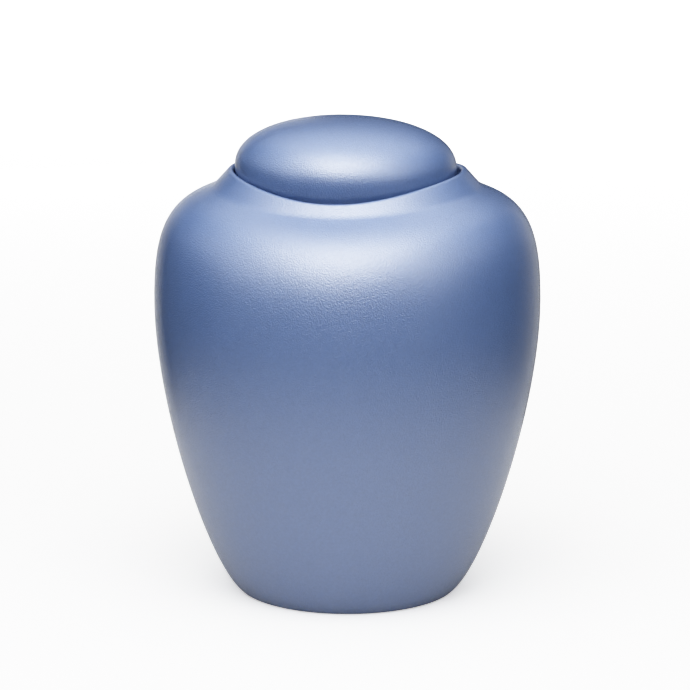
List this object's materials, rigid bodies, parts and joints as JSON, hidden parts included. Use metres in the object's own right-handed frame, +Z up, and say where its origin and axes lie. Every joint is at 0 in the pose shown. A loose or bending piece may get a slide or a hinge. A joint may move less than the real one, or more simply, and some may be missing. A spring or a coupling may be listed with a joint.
{
  "type": "funeral urn",
  "caption": "Broad-shouldered hollow funeral urn with a dipping lip and a pebble-shaped lid that drops into its mouth, in a satin blue pearl finish.",
  "frame": {"origin": "middle of the flat underside, which stands on the shelf", "axes": "+Z up through the middle of the foot, which is round; -Y towards the front, where the lip and the shoulder under it dip, as they do at the back; the lip's two high points are at +X and -X"},
  "size_m": [0.211, 0.211, 0.2617],
  "materials": {
    "pearl_blue": "satin"
  },
  "bodies": {
    "root": {"urn_body": "pearl_blue", "lid": "pearl_blue"}
  },
  "joints": []
}
